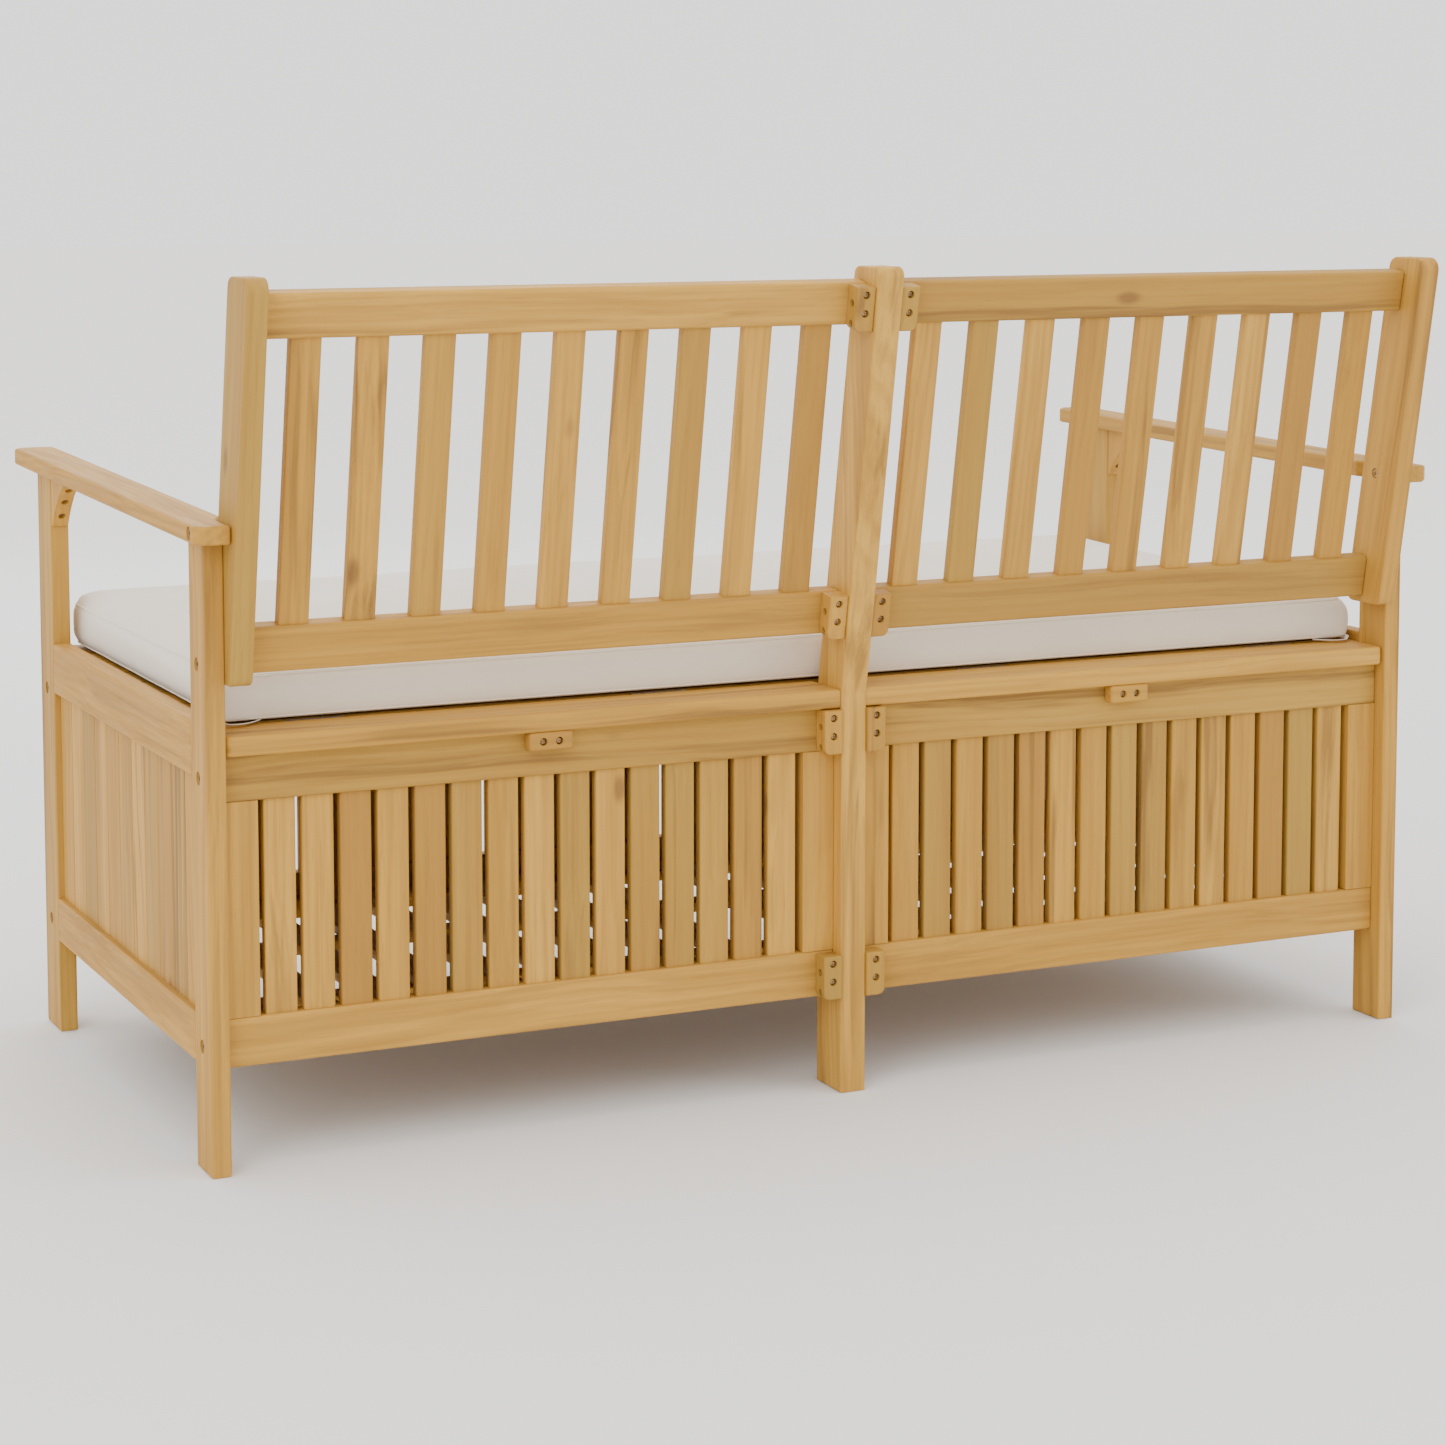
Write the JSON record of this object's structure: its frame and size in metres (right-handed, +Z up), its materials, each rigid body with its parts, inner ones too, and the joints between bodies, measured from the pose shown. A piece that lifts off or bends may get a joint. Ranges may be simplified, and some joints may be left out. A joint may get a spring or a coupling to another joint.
{
  "type": "storage bench",
  "caption": "Slatted wooden garden bench with a leaning backrest and armrests; its cushioned seat is the hinged lid of a storage box.",
  "frame": {"origin": "on the ground, at the middle of the outline", "axes": "+X along the bench to the sitter's left, -Y to the front, +Z up"},
  "size_m": [1.41, 0.7839, 0.864],
  "materials": {
    "wood": "light oiled acacia boards",
    "wood_slats": "light oiled acacia slats",
    "wood_blocks": "light oiled acacia blocks",
    "screw_metal": "bronzed steel",
    "hinge_metal": "zinc plated steel",
    "cushion_fabric": "cream woven polyester"
  },
  "bodies": {
    "frame": {"rear_leg_left": "wood", "rear_leg_right": "wood", "front_leg_left": "wood", "front_leg_right": "wood", "centre_back_post": "wood", "back_post_left": "wood", "back_post_right": "wood", "armrest_left": "wood", "armrest_right": "wood", "arm_bracket_left": "wood_blocks", "arm_bracket_right": "wood_blocks", "back_lower_rail_left": "wood", "back_lower_rail_right": "wood", "back_top_rail_left": "wood", "back_top_rail_right": "wood", "back_slats_left": "wood_slats", "back_slats_right": "wood_slats", "rear_top_rail_left": "wood", "rear_top_rail_right": "wood", "rear_bottom_rail_left": "wood", "rear_bottom_rail_right": "wood", "rear_stiles_left": "wood", "rear_stiles_right": "wood", "rear_slats_left": "wood_slats", "rear_slats_right": "wood_slats", "front_top_rail": "wood", "front_bottom_rail": "wood", "front_stiles": "wood", "front_slats": "wood_slats", "side_top_rail_left": "wood", "side_top_rail_right": "wood", "side_bottom_rail_left": "wood", "side_bottom_rail_right": "wood", "side_boards_left": "wood_slats", "side_boards_right": "wood_slats", "floor_slats": "wood_slats", "floor_bearers": "wood", "floor_ledges": "wood", "seat_rear_rail_left": "wood", "seat_rear_rail_right": "wood", "lid_cleat_left": "wood", "lid_cleat_right": "wood", "corner_blocks_left": "wood_blocks", "corner_blocks_right": "wood_blocks", "seat_rail_blocks": "wood_blocks", "wood_screws": "screw_metal", "frame_bolts": "screw_metal", "hinge_seat_leaves": "hinge_metal", "hinge_pins": "hinge_metal"},
    "lid": {"lid_slats": "wood_slats", "lid_battens": "wood", "hinge_lid_leaves": "hinge_metal", "cushion": "cushion_fabric"}
  },
  "joints": [
    {"name": "lid_hinge", "type": "hinge", "parent": "frame", "child": "lid", "pos_m": [0, 0.2365, 0.422], "axis": [-1, 0, 0], "range_deg": [0, 70], "deforming": ["cushion"]}
  ]
}
